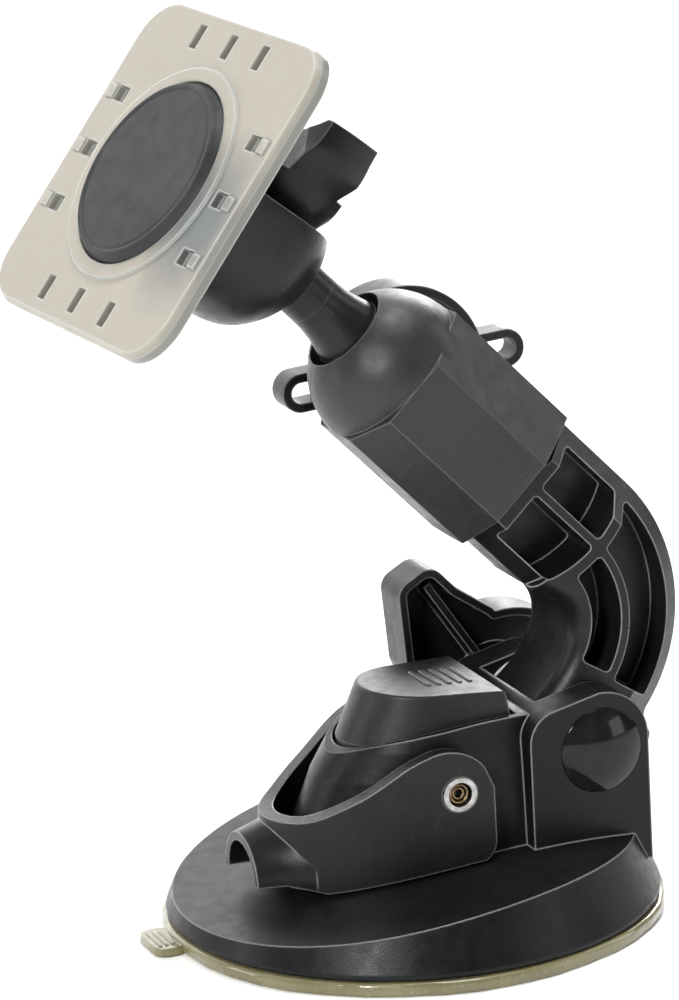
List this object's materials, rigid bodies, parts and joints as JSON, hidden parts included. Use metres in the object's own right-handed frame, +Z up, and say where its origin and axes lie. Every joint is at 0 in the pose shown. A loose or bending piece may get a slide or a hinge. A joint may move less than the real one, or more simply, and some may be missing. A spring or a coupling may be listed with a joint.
{
  "type": "car phone mount",
  "caption": "Suction-base phone mount with a lock lever, push button, tilting ribbed arm, ball-jointed neck and a square clip plate with clamp knobs.",
  "frame": {"origin": "middle of the suction face, on the surface it sticks to", "axes": "+Z up away from that surface, -X towards the lock lever's tip, +X towards the arm's pivot, +Y towards the side with the clamp knobs"},
  "size_m": [0.1091, 0.087, 0.1569],
  "materials": {
    "black_plastic": "satin moulded",
    "button_plastic": "satin moulded",
    "cap_plastic": "polished",
    "plate_plastic": "frosted",
    "seat_plastic": "plain moulded",
    "steel": "zinc plated",
    "gel": "clear sticky gel",
    "cup_rubber": "matte",
    "pad_rubber": "fine matte"
  },
  "bodies": {
    "base": {"base_shell": "black_plastic", "gel_pad": "gel", "suction_cup": "cup_rubber", "cup_spring": "steel", "button_springs": "steel", "pivot_bolt": "steel", "bolt_cap": "cap_plastic", "pivot_washers": "seat_plastic"},
    "cup": {"cup_stud": "black_plastic"},
    "lever": {"lock_lever": "black_plastic", "lever_pin": "steel", "lever_cam": "black_plastic"},
    "button": {"press_button": "button_plastic"},
    "tilt_clamp": {"tilt_knob": "black_plastic", "tilt_knob_nut": "steel"},
    "arm": {"arm": "black_plastic", "sleeve_front": "black_plastic", "sleeve_rear": "black_plastic", "sleeve_screws": "steel", "clamp_screw": "steel"},
    "sleeve_clamp": {"sleeve_knob": "black_plastic", "sleeve_knob_nut": "steel"},
    "lower_swivel": {"sleeve_ball_seat": "seat_plastic"},
    "neck": {"neck": "black_plastic"},
    "upper_swivel": {"head_ball_seat": "seat_plastic"},
    "head": {"head_housing": "black_plastic", "head_shoe": "seat_plastic", "clip_plate": "plate_plastic", "grip_pad": "pad_rubber", "plate_screws": "steel"},
    "head_clamp": {"head_knob": "black_plastic", "head_screw": "steel"}
  },
  "joints": [
    {"name": "lever_lift", "type": "hinge", "parent": "base", "child": "lever", "pos_m": [0.0018, 0, 0.0256], "axis": [0, 1, 0], "range_deg": [0, 58]},
    {"name": "cup_pull", "type": "slide", "parent": "base", "child": "cup", "axis": [0, 0, 1], "range_m": [-0.00218, 0], "deforming": ["cup_spring", "suction_cup", "gel_pad"]},
    {"name": "button_press", "type": "slide", "parent": "base", "child": "button", "axis": [0, 0, -1], "range_m": [0, 0.001], "stiffness_N_per_m": 400, "springref_m": -0.001, "deforming": ["button_springs"]},
    {"name": "arm_tilt", "type": "hinge", "parent": "base", "child": "arm", "pos_m": [0.0282, 0, 0.0288], "axis": [0, 1, 0], "range_deg": [-25, 52]},
    {"name": "tilt_knob_turn", "type": "hinge", "parent": "base", "child": "tilt_clamp", "pos_m": [0.0282, 0.024, 0.0288], "axis": [0, 1, 0], "range_deg": [-60, 120]},
    {"name": "sleeve_knob_turn", "type": "hinge", "parent": "arm", "child": "sleeve_clamp", "pos_m": [0.0094, 0.019, 0.09064], "axis": [0, 1, 0], "range_deg": [-90, 90]},
    {"name": "neck_spin", "type": "hinge", "parent": "arm", "child": "lower_swivel", "pos_m": [0.0009, 0, 0.0946], "axis": [0.6833, 0, -0.7302], "range_deg": [-180, 180]},
    {"name": "neck_tilt", "type": "hinge", "parent": "lower_swivel", "child": "neck", "pos_m": [0.0009, 0, 0.0946], "axis": [0, 1, 0], "range_deg": [-6, 6]},
    {"name": "head_spin", "type": "hinge", "parent": "neck", "child": "upper_swivel", "pos_m": [-0.02424, 0, 0.12147], "axis": [0.6833, 0, -0.7302], "range_deg": [-180, 180]},
    {"name": "head_tilt", "type": "hinge", "parent": "upper_swivel", "child": "head", "pos_m": [-0.02424, 0, 0.12147], "axis": [0.5085, -0.7176, 0.4759], "range_deg": [-20, 3]},
    {"name": "head_knob_turn", "type": "hinge", "parent": "head", "child": "head_clamp", "pos_m": [-0.02424, 0, 0.12147], "axis": [0.6186, 0.0483, 0.7842], "range_deg": [-90, 90]}
  ],
  "couplings": [
    {"joint": "cup_pull", "follows": "lever_lift", "m_per_rad": -0.0021}
  ]
}
